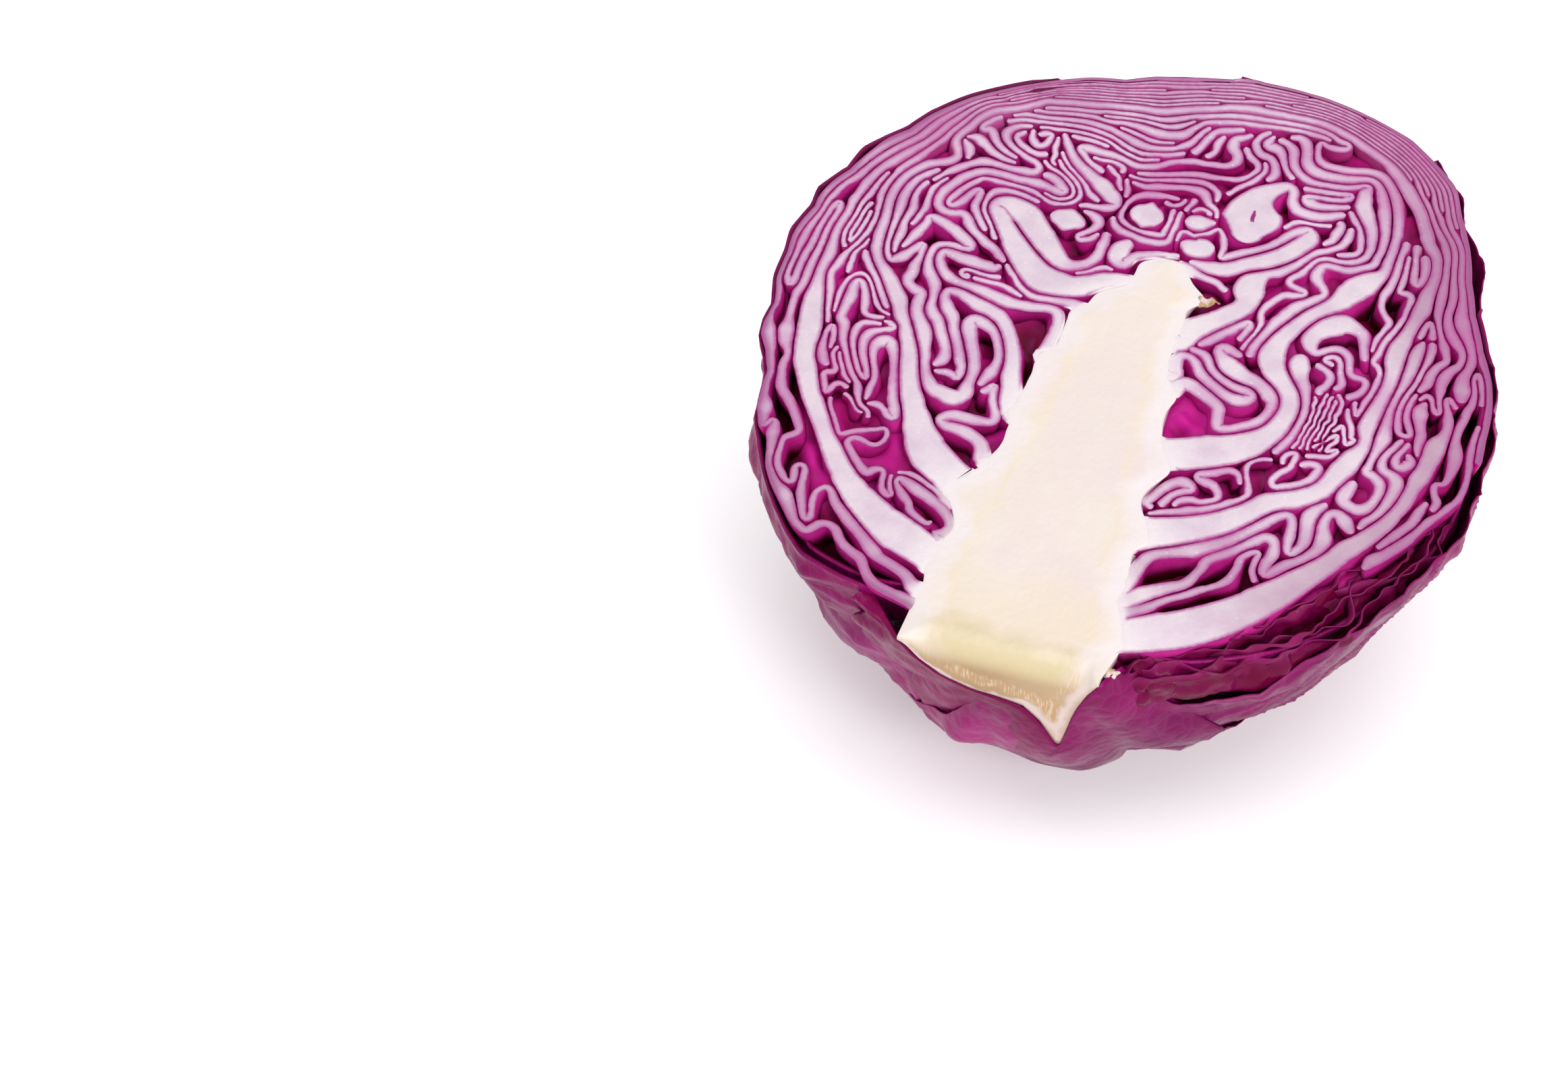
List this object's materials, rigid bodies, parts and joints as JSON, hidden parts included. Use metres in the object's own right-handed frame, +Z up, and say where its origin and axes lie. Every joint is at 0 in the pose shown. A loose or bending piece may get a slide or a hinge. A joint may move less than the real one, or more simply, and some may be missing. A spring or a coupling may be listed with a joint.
{
  "type": "red cabbage",
  "caption": "Half a red cabbage lying on its round side with the cut face up: a pale core with wrapped purple leaves.",
  "frame": {"origin": "on the surface it rests on, under the middle of its box", "axes": "+Z up, the stem's cut end towards -Y, the top of the head towards +Y, the cut face up and nodding a little towards -Y"},
  "size_m": [0.151, 0.172, 0.09],
  "materials": {
    "leaf_skin": "waxy satin leaf skin, magenta purple with pale veins",
    "leaf_flesh": "moist cut leaf, lilac white edged with magenta skin",
    "core_flesh": "moist cut stem, cream white with faint yellow strands"
  },
  "bodies": {
    "root": {"core": "core_flesh", "leaf_01": "leaf_skin", "leaf_02": "leaf_flesh", "leaf_03": "leaf_flesh", "leaf_04": "leaf_flesh", "leaf_05": "leaf_flesh", "leaf_06": "leaf_flesh", "leaf_07": "leaf_flesh", "leaf_08": "leaf_flesh", "leaf_09": "leaf_flesh", "leaf_10": "leaf_flesh", "leaf_11": "leaf_flesh", "leaf_12": "leaf_flesh", "leaf_13": "leaf_flesh", "leaf_14": "leaf_flesh", "leaf_15": "leaf_flesh", "leaf_16": "leaf_flesh", "leaf_17": "leaf_flesh", "leaf_18": "leaf_flesh", "leaf_19": "leaf_flesh", "heart_leaves": "leaf_flesh"}
  },
  "joints": []
}
